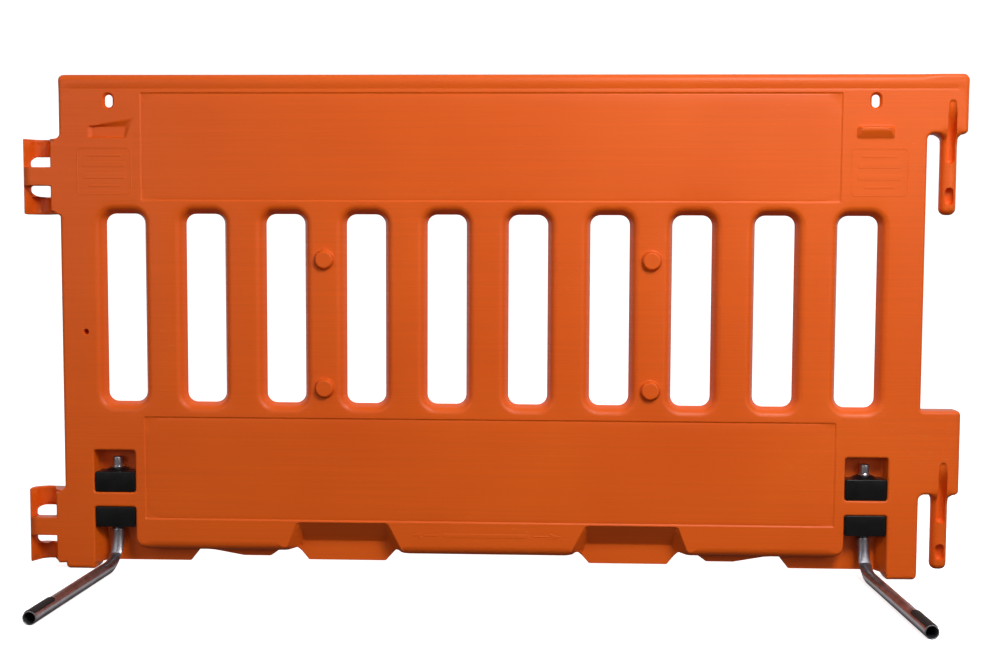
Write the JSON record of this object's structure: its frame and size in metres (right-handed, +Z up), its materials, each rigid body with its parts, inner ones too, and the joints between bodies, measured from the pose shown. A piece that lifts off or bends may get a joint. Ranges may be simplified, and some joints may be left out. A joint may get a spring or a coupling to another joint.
{
  "type": "linking crowd control barrier panel",
  "caption": "Slotted hollow plastic barrier panel with hinge sockets at one end, hinge hooks at the other and bent steel tube feet that swing out in front.",
  "frame": {"origin": "on the ground, in the middle of the area that the panel covers with its feet out; the wall's mid-plane is at Y = 0.2 m", "axes": "+X along the wall towards the hinge hooks, +Y from the front (feet) side to the back, +Z up"},
  "size_m": [1.8965, 0.4505, 1.01],
  "materials": {
    "orange_plastic": "satin moulded polyethylene",
    "black_plastic": "satin black",
    "tube_steel": "drawn tube",
    "plated_steel": "bright plated spring steel",
    "black_rubber": "matt"
  },
  "bodies": {
    "wall": {"panel": "orange_plastic", "hinge_socket_upper": "orange_plastic", "hinge_socket_lower": "orange_plastic", "hinge_hook_upper": "orange_plastic", "hinge_hook_lower": "orange_plastic", "upper_bearing_block_left": "black_plastic", "upper_bearing_block_right": "black_plastic", "lower_bearing_block_left": "black_plastic", "lower_bearing_block_right": "black_plastic"},
    "foot_left": {"foot_tube_left": "tube_steel", "push_nut_left": "plated_steel", "grip_strip_left": "black_rubber"},
    "foot_right": {"foot_tube_right": "tube_steel", "push_nut_right": "plated_steel", "grip_strip_right": "black_rubber"}
  },
  "joints": [
    {"name": "foot_left_swing", "type": "hinge", "parent": "wall", "child": "foot_left", "pos_m": [-0.764, 0.2, 0.145], "axis": [0, 0, 1], "range_deg": [0, 92.5]},
    {"name": "foot_right_swing", "type": "hinge", "parent": "wall", "child": "foot_right", "pos_m": [0.764, 0.2, 0.145], "axis": [0, 0, 1], "range_deg": [-92.5, 0]}
  ]
}
